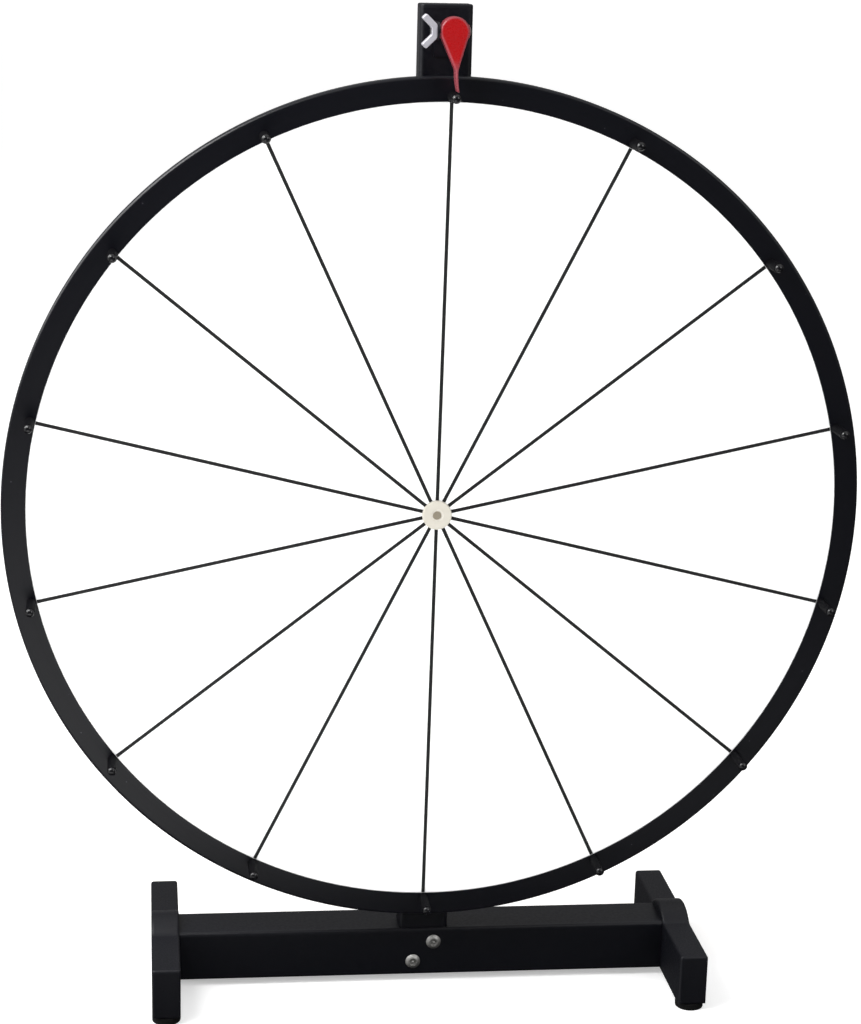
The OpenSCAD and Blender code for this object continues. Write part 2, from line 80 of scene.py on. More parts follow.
class Grain(Enum):
    """How a surface was made, as the way its fine pattern runs."""

    STIPPLED = "even in all directions, as sprayed or moulded"
    TURNED = "rings round the wheel's axis"


class Fade(Enum):
    """How light changes from one stretch of the studio's surroundings to the next."""

    SOFT = "SMOOTHSTEP"
    EVEN = "LINEAR"


def linear(colour: str) -> tuple[float, float, float, float]:
    """Turns an sRGB hex colour into a linear one.

    Args:
        colour: the colour as "#rrggbb".
    Returns:
        Linear red, green and blue, and an alpha of 1.
    """
    srgb = np.array([int(colour[i:i + 2], 16) for i in (1, 3, 5)]) / 255
    light = np.where(srgb <= 0.04045, srgb / 12.92, ((srgb + 0.055) / 1.055) ** 2.4)
    return (*light.tolist(), 1.0)


def per_metre(size_mm: float) -> float:
    """Gives the texture scale whose pattern repeats at about a real size in millimetres."""
    return 1 / (size_mm * MM)


def add_node(tree: bpy.types.NodeTree, kind: str, inputs: dict, **settings: object) -> bpy.types.Node:
    """Adds a node with its settings and links.

    Args:
        tree: the node tree that takes it.
        kind: Blender's name of the node type.
        inputs: for each input, by name or number, the socket that feeds it or its value.
        settings: the node's own properties.
    Returns:
        The new node.
    """
    node = tree.nodes.new(kind)
    for name, value in settings.items():
        setattr(node, name, value)
    for key, value in inputs.items():
        if isinstance(value, bpy.types.NodeSocket):
            tree.links.new(value, node.inputs[key])
        else:
            node.inputs[key].default_value = value
    return node


@dataclass(frozen=True)
class Finish:
    """A surface finish: what the material is, and the sizes and strengths of its patterns.

    Attributes:
        name: the material's common name and how its surface was made.
        slot: the record's material slot; not used.
        base: main colour.
        shade: second colour, in soft patches over the first.
        patch_mm: size of those patches.
        grain_mm: size of the fine pattern.
        relief_mm: height of the fine pattern.
        rough: lowest and highest roughness over the fine pattern.
        grain: the way the fine pattern runs.
        metallic: 1 for bare metal, 0 for all else.
        specular: strength of the surface reflection, where 0.5 is the usual plastic.
        dust: colour of fine specks that lie on the surface, if there are any.
        dust_mm: distance between specks.
        painted_highlight: colour of a painted highlight, laid where the mesh's own attribute of this name is
            1, if there is any.
        glow: strength of light that the surface gives off.
    """

    name: str
    slot: str
    base: str
    shade: str
    patch_mm: float
    grain_mm: float
    relief_mm: float
    rough: tuple[float, float]
    grain: Grain = Grain.STIPPLED
    metallic: float = 0.0
    specular: float = 0.5
    dust: str = ""
    dust_mm: float = 14.0
    painted_highlight: str = ""
    glow: float = 0.0

    def material(self) -> bpy.types.Material:
        """Gives the finish's material, made at its first use.

        Returns:
            A material whose patches set the colour, and whose grain sets roughness and relief.
        """
        found = bpy.data.materials.get(self.name)
        if found:
            return found
        made = bpy.data.materials.new(self.name)
        made.use_nodes = True
        tree = made.node_tree
        tree.nodes.clear()
        grain_detail = 3.0
        # The noise stays mostly between these values
        noise_low, noise_high = 0.3, 0.7
        place = add_node(tree, "ShaderNodeTexCoord", {}).outputs["Object"]
        grain = add_node(tree, "ShaderNodeTexNoise", {
            "Vector": self._grain_place(tree, place), "Scale": per_metre(self.grain_mm),
            "Detail": grain_detail})
        rough = add_node(tree, "ShaderNodeMapRange", {
            "Value": grain.outputs["Fac"], "From Min": noise_low, "From Max": noise_high,
            "To Min": self.rough[0], "To Max": self.rough[1]})
        relief = add_node(tree, "ShaderNodeBump", {
            "Height": grain.outputs["Fac"], "Distance": self.relief_mm * MM, "Strength": 1.0})
        shader = add_node(tree, "ShaderNodeBsdfPrincipled", {
            "Base Color": self._colour(tree, place), "Roughness": rough.outputs[0],
            "Normal": relief.outputs[0], "Metallic": self.metallic, "Specular IOR Level": self.specular,
            "Emission Color": linear(self.base), "Emission Strength": self.glow})
        add_node(tree, "ShaderNodeOutputMaterial", {"Surface": shader.outputs[0]})
        return made

    def _grain_place(self, tree: bpy.types.NodeTree, place: bpy.types.NodeSocket) -> bpy.types.NodeSocket:
        """Gives the coordinates of the fine pattern: the object's own, or the distance from the wheel's axis.

        Args:
            tree: the material's node tree.
            place: the object coordinates.
        Returns:
            The coordinates to read the pattern at.
        """
        if self.grain is Grain.STIPPLED:
            return place
        flat = add_node(tree, "ShaderNodeMapping", {
            "Vector": place, "Location": (0, 0, -hub_height() * MM), "Scale": (1, 0, 1)})
        away = add_node(tree, "ShaderNodeVectorMath", {0: flat.outputs[0]}, operation="LENGTH")
        return add_node(tree, "ShaderNodeCombineXYZ", {"X": away.outputs["Value"]}).outputs[0]

    def _colour(self, tree: bpy.types.NodeTree, place: bpy.types.NodeSocket) -> bpy.types.NodeSocket:
        """Lays soft patches over the main colour, then specks and a painted highlight where the finish has
        them.

        Specks are the surface within a short distance of scattered points.

        Args:
            tree: the material's node tree.
            place: the object coordinates.
        Returns:
            The colour of the surface.
        """
        detail, contrast, speck_share = 4.0, 0.6, 0.04
        patches = add_node(tree, "ShaderNodeTexNoise", {
            "Vector": place, "Scale": per_metre(self.patch_mm), "Detail": detail, "Roughness": contrast})
        layers = [(patches.outputs["Fac"], self.shade)]
        if self.dust:
            points = add_node(tree, "ShaderNodeTexVoronoi", {
                "Vector": place, "Scale": per_metre(self.dust_mm)})
            specks = add_node(tree, "ShaderNodeMapRange", {
                "Value": points.outputs["Distance"], "From Min": speck_share, "From Max": speck_share / 2})
            layers.append((specks.outputs[0], self.dust))
        # Painted highlight: a pale colour laid where the mesh's own attribute marks the brightly lit edges
        if self.painted_highlight:
            marks = add_node(tree, "ShaderNodeAttribute", {}, attribute_name="painted_highlight")
            layers.append((marks.outputs["Fac"], self.painted_highlight))
        colour = linear(self.base)
        for share, over in layers:
            colour = add_node(tree, "ShaderNodeMix", {"Factor": share, "A": colour, "B": linear(over)},
                              data_type="RGBA").outputs["Result"]
        return colour


def hub_height() -> float:
    """Gives the height of the wheel's axis, in millimetres."""
    low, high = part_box("rim_trim")
    return (low.z + high.z) / 2 / MM


# Sprayed and baked powder on steel: a satin black with a faint orange peel.
# The peel's real 1 mm waves are drawn at 2 mm
POWDER_COAT = Finish("powder-coated steel", "black_steel", "#05060e", "#070810", 60, 2.0, 0.008,
                     (0.34, 0.48), specular=0.32)
# Moulded ABS with a spark-eroded texture: a dull black, slightly greyer than paint.
# Its 0.3 mm grain is drawn at 1.2 mm
MOULDED_ABS = Finish("moulded ABS", "black_moulding", "#06070f", "#080911", 40, 1.2, 0.012,
                     (0.42, 0.58), specular=0.3)
# Extruded edging strip bent round the board: satin black with faint lines along its length, and a little dust
EXTRUDED_EDGING = Finish("extruded PVC edging", "black_rim", "#03040b", "#06060e", 90, 1.4, 0.006,
                         (0.3, 0.42), Grain.TURNED, specular=0.36, dust="#3c3c42")
# Injection-moulded nylon with a fine texture: a dead black on the pegs' sides.
# Its 0.2 mm grain is drawn at 1 mm
TEXTURED_NYLON = Finish("textured black nylon", "black_pegs", "#050508", "#07070a", 10, 1.0, 0.01,
                        (0.7, 0.8), specular=0.05)
# The same nylon, polished by the pointer that rubs over it: a small spot of light on each round tip
POLISHED_NYLON = Finish("rubbed black nylon", "black_pegs", "#050508", "#07070a", 10, 1.5, 0.002,
                        (0.2, 0.28), specular=0.5)
# Thin self-adhesive tape: black, matt and slightly uneven in tone along its length
LINE_TAPE = Finish("black lining tape", "black_lines", "#0c0c0d", "#202021", 35, 1.0, 0.004,
                   (0.45, 0.6), specular=0.3)
# Moulded rubber: the dullest black of the base
RUBBER = Finish("moulded rubber", "pad_rubber", "#060607", "#090909", 15, 0.9, 0.02,
                (0.6, 0.75), specular=0.25)
# Melamine-faced dry-wipe sheet: a glossy cool white with very faint clouds where it has been wiped
DRY_WIPE = Finish("dry-wipe melamine sheet", "white_sheet", "#f8f8f7", "#f3f4f4", 70, 3.0, 0.002,
                  (0.2, 0.32), specular=0.4)
# Raw medium-density fibreboard: pale brown felted fibres. The 0.2 mm fibres are drawn at 1.5 mm
FIBREBOARD = Finish("raw fibreboard", "fibreboard", "#a98b62", "#937549", 5, 1.5, 0.05,
                    (0.75, 0.9), specular=0.2)
# Zinc plate on steel: a dull grey metal with faint cloudy patches from the passivating bath
ZINC_PLATE = Finish("zinc-plated steel", "zinc_steel", "#bfbfbd", "#aeada9", 6, 0.8, 0.004,
                    (0.5, 0.62), metallic=1.0)
# Zinc plate with a yellow passivation: a warm pale metal on the axle's end
YELLOW_ZINC = Finish("yellow-passivated zinc plate", "zinc_steel", "#e2d8c6", "#d3c6ad", 5, 0.8, 0.004,
                     (0.5, 0.62), metallic=1.0)
# Nickel plate over a blasted surface: a pale satin silver without sharp reflections
NICKEL_PLATE = Finish("nickel-plated steel", "nickel_steel", "#e8e7ee", "#d6d5dc", 4, 0.9, 0.006,
                      (0.58, 0.7), metallic=1.0)
# Nickel plate gone dull: a plain grey metal on the beam's two screws
DULL_NICKEL = Finish("dull nickel-plated steel", "nickel_steel", "#c2c2c0", "#b1b0ac", 6, 0.8, 0.004,
                     (0.5, 0.62), metallic=1.0)
# Hardened bearing steel, ground round: clean grey metal with fine grinding rings, drawn at 0.6 mm
BEARING_STEEL = Finish("ground bearing steel", "bearing_steel", "#c0c2c6", "#b2b4b8", 8, 0.6, 0.002,
                       (0.16, 0.26), Grain.TURNED, metallic=1.0)
# Moulded natural nylon: a warm cream that is slightly waxy, with soft tone patches
CREAM_NYLON = Finish("moulded cream nylon", "cream_plastic", "#bdb9af", "#b5b0a4", 5, 1.0, 0.01,
                     (0.35, 0.5), specular=0.45)
# Flexible moulded plastic: a saturated satin red, with a painted pale pink highlight on its edges and bent
# blade
FLEXIBLE_RED = Finish("flexible red plastic", "red_plastic", "#93050a", "#870509", 9, 1.0, 0.006,
                      (0.24, 0.32), specular=0.3, painted_highlight="#7d4048")
# Matt paper under the whole object: an even pale floor, with a little light of its own that keeps it white
STUDIO_PAPER = Finish("matt studio paper", "", "#f4f4f4", "#f4f4f4", 500, 4.0, 0.0,
                      (0.9, 1.0), specular=0.0, glow=0.435)


def grid_shell(points: Array, ring: bool = False, ladder: bool = False) -> Shell:
    """Joins a grid of points into a closed shell.

    Each row is a closed outline, and quads join each row to the next. The first and last outlines become end
    faces, unless the rows themselves run round in a ring. An end face is one polygon, or a ladder of quads
    between the outline's first half and its mirrored second half, which can bend.

    Args:
        points: rows by columns by three, in millimetres.
        ring: whether the last row joins the first.
        ladder: whether the end faces are ladders.
    Returns:
        The points as a list, and the faces.
    """
    rows, columns = points.shape[:2]
    index = np.arange(rows * columns).reshape(rows, columns)
    here = index if ring else index[:-1]
    after = np.roll(index, -1, axis=0) if ring else index[1:]
    quads = np.stack([here, np.roll(here, -1, axis=1), np.roll(after, -1, axis=1), after], axis=-1)
    ends = [] if ring else [index[0, ::-1].tolist(), index[-1].tolist()]
    if ladder:
        rung = np.arange(columns // 2)
        steps = np.stack([rung, rung + 1, columns - rung - 1, (columns - rung) % columns], axis=-1)
        ends = [list(dict.fromkeys(end[step].tolist())) for end in (index[0], index[-1]) for step in steps]
    return points.reshape(-1, 3), quads.reshape(-1, 4).tolist() + ends


def round_corners(corners: Array | list[list[float]], radii: list[float] | float, steps: int = 6) -> Outline:
    """Rounds the corners of a closed outline that runs anticlockwise.

    Each corner becomes an arc that touches both of its sides. The arc starts at radius times the tangent of
    half the turn before the corner, and its normals turn evenly from one side's normal to the next.

    Args:
        corners: the sharp corners, two columns.
        radii: the radius at each corner, or one for all.
        steps: number of steps along each arc.
    Returns:
        The outline's points and their outward normals.
    """
    corners = np.asarray(corners, float)
    radii = np.broadcast_to(np.asarray(radii, float), len(corners))
    leaving = np.roll(corners, -1, axis=0) - corners
    leaving /= np.linalg.norm(leaving, axis=1, keepdims=True)
    arriving = np.roll(leaving, 1, axis=0)
    cross = arriving[:, 0] * leaving[:, 1] - arriving[:, 1] * leaving[:, 0]
    turn = np.arctan2(cross, (arriving * leaving).sum(1))
    first = np.arctan2(arriving[:, 1], arriving[:, 0]) - np.pi / 2
    angle = first[:, None] + turn[:, None] * np.linspace(0, 1, steps + 1)
    normals = np.stack([np.cos(angle), np.sin(angle)], axis=-1)
    signed = (np.sign(turn) * radii)[:, None]
    start = corners - arriving * (radii * np.tan(np.abs(turn) / 2))[:, None]
    centre = start - signed * normals[:, 0]
    points = centre[:, None] + signed[:, None] * normals
    return points.reshape(-1, 2), normals.reshape(-1, 2)


def rectangle(width: float, height: float, radius: float, middle: tuple[float, float] = (0, 0)) -> Outline:
    """Gives a rectangle with round corners.

    Args:
        width: size along the first axis.
        height: size along the second axis.
        radius: corner radius.
        middle: the rectangle's middle.
    Returns:
        The outline's points and normals.
    """
    signs = np.array([[-1, -1], [1, -1], [1, 1], [-1, 1]])
    return round_corners(signs * (width / 2, height / 2) + middle, radius)


def prism(outline: Outline, reach: tuple[float, float], edges: tuple[float, float] | tuple[Array, Array],
          origin: Place, axes: Array, steps: int = 5, ladder: bool = False) -> Shell:
    """Carries an outline along a straight path, with rounded edges at both ends.

    Near each end the outline is drawn in along its normals by radius times (1 - sin t) while the depth rises
    by radius times (1 - cos t), for t from 0 to a quarter turn.

    Args:
        outline: points and outward normals.
        reach: depth of the first and the last section along the shape's own z.
        edges: edge radius at the first and the last section, as numbers or one for each point.
        origin: place of the shape's own origin.
        axes: world directions of the shape's own axes.
        steps: number of steps round each edge.
        ladder: whether the end faces are ladders of quads.
    Returns:
        A closed shell.
    """
    points, normals = outline
    turn = np.linspace(0, np.pi / 2, steps + 1)[:, None]
    sections = []
    for depth, edge, sign in ((reach[0], edges[0], 1), (reach[1], edges[1], -1)):
        radius = np.broadcast_to(np.asarray(edge, float), len(points))
        inset = (1 - np.sin(turn)) * radius
        rise = depth + sign * (1 - np.cos(turn)) * radius
        flat = points - normals * inset[..., None]
        sections.append(np.concatenate([flat, rise[..., None]], axis=-1)[::sign])
    return grid_shell(np.concatenate(sections) @ axes + origin, ladder=ladder)


def lathe(profile: Array | list[list[float]], origin: Place, axes: Array, steps: int = 64,
          ring: bool = False) -> Shell:
    """Carries a profile round an axis: each (radius, depth) becomes a circle of that radius at that depth.

    Args:
        profile: radius and depth of each point, in order.
        origin: a point of the axis.
        axes: world directions of the shape's own axes, of which z is the axis.
        steps: number of steps round the axis.
        ring: whether the profile is closed.
    Returns:
        A closed shell.
    """
    radius, depth = np.asarray(profile, float).T[..., None]
    angle = np.linspace(0, 2 * np.pi, steps, endpoint=False)
    grid = np.stack([radius * np.cos(angle), radius * np.sin(angle), depth + 0 * angle], axis=-1)
    return grid_shell(grid @ axes + origin, ring)


def quarter(centre: tuple[float, float], radius: float, start: float, steps: int = 6) -> Array:
    """Gives a quarter circle, anticlockwise.

    Args:
        centre: the circle's middle.
        radius: its radius.
        start: angle of the first point, in degrees.
        steps: number of steps.
    Returns:
        The points, two columns.
    """
    angle = np.radians(start) + np.linspace(0, np.pi / 2, steps + 1)
    return np.stack([np.cos(angle), np.sin(angle)], axis=-1) * radius + centre


def arc_height(radius: float, away: Array) -> Array:
    """Gives a circle's height above its middle, at distances from the middle along its width."""
    return np.sqrt(np.clip(radius ** 2 - away ** 2, 0, None))


def box_mm(node: str) -> tuple[Array, Array]:
    """Gives a CAD node's lowest and highest corner in millimetres."""
    low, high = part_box(node)
    return np.array(low) / MM, np.array(high) / MM


def read_places(items: bpy.types.bpy_prop_collection, name: str) -> Array:
    """Reads one place from each of a mesh's points or faces.

    Args:
        items: the points or faces.
        name: Blender's name of the place.
    Returns:
        The places in millimetres, three columns.
    """
    places = np.empty(3 * len(items))
    items.foreach_get(name, places)
    return places.reshape(-1, 3) / MM


class Assembly:
    """What the sub-assemblies share: putting pieces into the scene, and dressing CAD nodes."""

    def put(self, name: str, shells: list[Shell], finish: Finish, nodes: list[str],
            body: Body | None = None) -> bpy.types.Object:
        """Makes one piece of closed shells that stands for CAD nodes.

        Args:
            name: the piece's name.
            shells: its closed surfaces, in millimetres.
            finish: its finish.
            nodes: the CAD nodes that it replaces.
            body: the body that it rides, if it rides one.
        Returns:
            The new object, with poles merged, faces outward and only real edges sharp.
        """
        merge_mm, sharp_deg, face_weight = 0.001, 40, 100
        starts = np.cumsum([0] + [len(points) for points, _ in shells])
        points = np.concatenate([points for points, _ in shells]) * MM
        faces = [[corner + start for corner in face] for (_, group), start in zip(shells, starts.tolist())
                 for face in group]
        mesh = bpy.data.meshes.new(name)
        mesh.from_pydata(points, [], faces)
        work = bmesh.new()
        work.from_mesh(mesh)
        bmesh.ops.remove_doubles(work, verts=work.verts, dist=merge_mm * MM)
        bmesh.ops.recalc_face_normals(work, faces=work.faces)
        work.to_mesh(mesh)
        work.free()
        mesh.shade_smooth()
        mesh.set_sharp_from_angle(angle=math.radians(sharp_deg))
        mesh.materials.append(finish.material())
        piece = bpy.data.objects.new(name, mesh)
        bpy.context.scene.collection.objects.link(piece)
        shading = piece.modifiers.new("even shading", "WEIGHTED_NORMAL")
        shading.weight = face_weight
        shading.keep_sharp = True
        if body:
            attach(piece, body.value)
        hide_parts(*nodes)
        LOG.info("piece %s stands for %s", name, ", ".join(nodes))
        return piece

    def dress(self, finish: Finish, *nodes: str) -> None:
        """Gives CAD nodes a finish.

        Args:
            finish: the finish.
            nodes: names of the nodes.
        """
        for node in nodes:
            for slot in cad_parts[node].material_slots:
                slot.material = finish.material()
        LOG.info("finish %s on %s", finish.name, ", ".join(nodes))


@dataclass(frozen=True)
class SocketHead:
    """A domed screw head with a hexagonal socket and a pin in its middle. Sizes in millimetres.

    Attributes:
        radius: radius of the head.
        height: height of the head.
        rim_share: height of the upright rim below the dome, of the head's height.
        sunk_share: depth of the socket, of the head's height.
        socket_share: radius of the socket's corners, of the head's radius.
        dome_share: radius at which the rows of the dome start, of the head's radius.
        pin_share: radius of the pin, of the socket's radius.
        floor_share: radius of the socket's flat floor, of the socket's radius.
        mouth_share: radius of the socket's bevelled mouth, of the socket's radius.
        mouth_hexagon: how far the mouth keeps the form of a hexagon.
        floor_rise: rise of the floor to the wall.
        bevel: depth of the mouth's bevel.
        steps: number of steps round the head.
        dome_steps: number of steps down the dome.
        pin_steps: number of steps down the pin's round end.
    """

    radius: float
    height: float
    rim_share: float = 0.12
    sunk_share: float = 0.75
    socket_share: float = 0.5
    dome_share: float = 0.62
    pin_share: float = 0.45
    floor_share: float = 0.9
    mouth_share: float = 1.1
    mouth_hexagon: float = 0.6
    floor_rise: float = 0.1
    bevel: float = 0.15
    steps: int = 72
    dome_steps: int = 8
    pin_steps: int = 4

    def shell(self, origin: Place, axes: Array) -> Shell:
        """Makes the head.

        Rows run from the pin's round end over the socket's floor, its wall and the dome to the rim. A row's
        radius is multiplied by a hexagon's share: 1 for a circle, and cos 30 over the cosine of the angle
        from the nearest flat for a hexagon.

        Args:
            origin: middle of the head's seat.
            axes: world directions of the shape's own axes, of which z leaves the seat.
        Returns:
            A closed shell.
        """
        angle = np.linspace(0, 2 * np.pi, self.steps, endpoint=False)
        domed = self.height - self.rim_share * self.height
        ball = (self.radius ** 2 + domed ** 2) / (2 * domed)
        fall = np.linspace(math.asin(self.dome_share), np.pi / 2, self.dome_steps + 1)
        dome = self.radius * np.sin(fall)
        over = self.height - ball + np.sqrt(ball ** 2 - dome ** 2)
        socket = self.socket_share * self.radius
        lip = self.mouth_share * socket
        mouth = self.height - ball + math.sqrt(ball ** 2 - lip ** 2)
        floor = self.height - self.sunk_share * self.height
        pin, swing = self.pin_share * socket, np.linspace(0, np.pi / 2, self.pin_steps + 1)
        radii = np.concatenate([
            pin * np.sin(swing), [pin, socket * self.floor_share, socket, socket, lip],
            dome, [self.radius, 0]])
        depth = np.concatenate([
            mouth - pin * (1 - np.cos(swing)),
            [floor, floor, floor + self.floor_rise, mouth - self.bevel, mouth], over, [0, 0]])
        share = np.concatenate([0 * swing, [0, 1, 1, 1, self.mouth_hexagon], 0 * dome, [0, 0]])[:, None]
        hexagon = math.cos(np.pi / 6) / np.cos(angle % (np.pi / 3) - np.pi / 6)
        spread = radii[:, None] * (1 + share * (hexagon - 1))
        grid = np.stack([spread * np.cos(angle), spread * np.sin(angle), depth[:, None] + 0 * angle], axis=-1)
        return grid_shell(grid @ axes + origin)


@dataclass
class Base(Assembly):
    """The beam on its two feet, with pads and screws. Sizes in millimetres."""

    edge_r: float = 2.0
    edge_steps: int = 6
    hump_h: float = 8.0
    hump_r: float = 30.0
    hump_reach: float = 26.0
    hump_steps: int = 52
    hollow_r: float = 8.0
    wall: float = 3.0
    rib: float = 3.0
    end_block: float = 22.5
    draft: float = 0.6
    screw_head_r: float = 5.5
    shank_r: float = 3.0
    shank_rise: float = 0.1
    pad_edge: float = 0.6
    pad_top_edge: float = 0.3
    stem_r: float = 3.5
    stem_l: float = 8.0

    def build(self) -> None:
        """Builds the feet, the pads and the beam's screws, and dresses what stays."""
        for side in ("left", "right"):
            foot = f"foot_{side}"
            self.put(f"foot_moulding_{side}", [self.foot(foot)], MOULDED_ABS, [foot], Body.STAND)
            for end in ("front", "rear"):
                node = f"pad_{end}_{side}"
                self.put(f"rubber_{node}", [self.pad(node)], RUBBER, [node], Body.STAND)
        self.put("post_screw_heads", self.screws(), DULL_NICKEL, ["post_screws"], Body.STAND)
        self.dress(POWDER_COAT, "base_beam")
        self.dress(ZINC_PLATE, "foot_screws", "post_nut_plate")

    def hump_half(self) -> float:
        """Gives half the hump's length: where the hollow arc beside the crown meets the flat bar."""
        reach = self.hump_r + self.hollow_r
        return math.sqrt(reach ** 2 - (self.hump_r - self.hump_h + self.hollow_r) ** 2)

    def top(self, along: Array, bar_h: float) -> Array:
        """Gives the height of a foot's top above its underside.

        The crown is an arc of the hump's radius, a hollow arc joins it to the bar on each side, and the bar
        is flat.

        Args:
            along: distances from the foot's middle.
            bar_h: height of the bar.
        Returns:
            The height at each distance.
        """
        away, half = np.abs(along), self.hump_half()
        touch = half * self.hump_r / (self.hump_r + self.hollow_r)
        crown = bar_h + self.hump_h - self.hump_r + arc_height(self.hump_r, away)
        hollow = bar_h + self.hollow_r - arc_height(self.hollow_r, away - half)
        return np.where(away < touch, crown, np.where(away < half, hollow, bar_h))

    def foot(self, node: str) -> Shell:
        """Makes a foot: a hollow section carried along its length.

        The section is a bar with rounded top edges and a cavity below. Its width and height draw in along a
        quarter circle at both ends, its top follows the hump, and the cavity's depth steps between full and
        none at the ribs.

        Args:
            node: the CAD foot.
        Returns:
            A closed shell.
        """
        low, high = box_mm(node)
        inward = -1 if node.endswith("right") else 1
        beam_end = box_mm("base_beam")[1 if inward < 0 else 0][0]
        width = abs(high[0] - beam_end if inward < 0 else beam_end - low[0])
        middle = beam_end - inward * width / 2
        bar_h, half_l = high[2] - low[2] - self.hump_h, (high[1] - low[1]) / 2
        hump = np.linspace(0, self.hump_reach, self.hump_steps + 1)
        walls = self.pocket_walls(half_l)
        swing = np.linspace(0, np.pi / 2, self.edge_steps + 1)
        round_end = half_l - self.edge_r * (1 - np.sin(swing))
        half = np.unique(np.concatenate([hump, walls[:, 0], walls[:, 1], round_end]))
        along = np.concatenate([-half[:0:-1], half])
        away = np.abs(along)
        past = np.clip(away - (half_l - self.edge_r), 0, None)
        inset = self.edge_r - arc_height(self.edge_r, past)
        pocket = np.interp(away, walls.ravel(), np.tile([0.0, 1.0, 1.0, 0.0], len(walls) // 2))
        roof = pocket * (bar_h - self.wall)
        arc = quarter((0, 0), self.edge_r, 0, self.edge_steps)
        side, top = (width / 2 - inset)[:, None], (self.top(along, bar_h) - inset)[:, None]
        floor, ceiling = inset[:, None], (roof + inset)[:, None]
        inner = np.full_like(side, width / 2 - self.wall)
        arc_x, arc_z = side - self.edge_r + arc[:, 0], top - self.edge_r + arc[:, 1]
        x = np.concatenate([side, arc_x, -arc_x[:, ::-1], -side, -inner, -inner, inner, inner], axis=1)
        z = np.concatenate([floor, arc_z, arc_z[:, ::-1], floor, floor, ceiling, ceiling, floor], axis=1)
        return grid_shell(np.stack([x + middle, along[:, None] + 0 * x, z + low[2]], axis=-1))

    def pocket_walls(self, half_l: float) -> Array:
        """Gives where each pocket's end walls start and stop along half a foot.

        Args:
            half_l: half the foot's length.
        Returns:
            One row for each wall, from the foot's middle outwards.
        """
        first, last = self.hump_half() + self.wall, half_l - self.end_block
        between = (first + last) / 2
        faces = np.array([first, between - self.rib / 2, between + self.rib / 2, last])
        slope = self.draft * np.array([1, -1, 1, -1])
        return np.sort(np.stack([faces, faces + slope], axis=1), axis=1)

    def pad(self, node: str) -> Shell:
        """Makes a pad turned from a profile: a round lower edge, an upright side, a flat top and a stem.

        Args:
            node: the CAD pad.
        Returns:
            A closed shell.
        """
        low, high = box_mm(node)
        radius = (high[0] - low[0]) / 2
        top = high[2] - self.stem_l
        profile = np.concatenate([
            [[0, 0]], quarter((radius - self.pad_edge, self.pad_edge), self.pad_edge, -90),
            quarter((radius - self.pad_top_edge, top - self.pad_top_edge), self.pad_top_edge, 0, steps=3),
            [[self.stem_r, top], [self.stem_r, high[2]], [0, high[2]]]])
        middle = (low + high) / 2
        return lathe(profile, (middle[0], middle[1], low[2]), UPRIGHT)

    def screws(self) -> list[Shell]:
        """Makes the two domed screws in the front of the beam, one high and one low.

        Returns:
            A closed shell for each head and each shank.
        """
        low, high = box_mm("post_screws")
        seat = box_mm("base_beam")[0][1]
        head = SocketHead(self.screw_head_r, seat - low[1])
        end = seat - high[1]
        shank = [[0, end], [self.shank_r, end], [self.shank_r, self.shank_rise], [0, self.shank_rise]]
        shells = []
        for corner, sign in ((low, 1), (high, -1)):
            middle = corner + sign * self.screw_head_r
            origin = (middle[0], seat, middle[2])
            shells += [head.shell(origin, FACING), lathe(shank, origin, FACING, steps=32)]
        return shells


@dataclass
class Post(Assembly):
    """The upright tube and its cap. Sizes in millimetres."""

    corner_r: float = 3.0
    wall: float = 2.0
    cap_edge_r: float = 1.3
    cap_seat_r: float = 0.2
    fit: float = 0.1
    plug_corner_r: float = 1.0
    plug_end_r: float = 0.4
    plug_root_r: float = 0.1
    plug_rise: float = 0.5

    def build(self) -> None:
        """Builds the cap and dresses the tube."""
        self.put("post_end_cap", self.cap(), MOULDED_ABS, ["post_cap"], Body.STAND)
        self.dress(POWDER_COAT, "post")

    def cap(self) -> list[Shell]:
        """Makes the cap: a plate with a rounded upper edge, and the plug below it.

        Returns:
            A closed shell for each.
        """
        low, high = box_mm("post_cap")
        seat = box_mm("post")[1][2]
        width, depth = (high - low)[:2]
        middle = (low + high) / 2
        origin = (middle[0], middle[1], 0)
        inset = 2 * (self.wall + self.fit)
        plate = rectangle(width, depth, self.corner_r)
        plug = rectangle(width - inset, depth - inset, self.plug_corner_r)
        plate_edges, plug_edges = (self.cap_seat_r, self.cap_edge_r), (self.plug_end_r, self.plug_root_r)
        return [prism(plate, (seat, high[2]), plate_edges, origin, UPRIGHT),
                prism(plug, (low[2], seat + self.plug_rise), plug_edges, origin, UPRIGHT)]


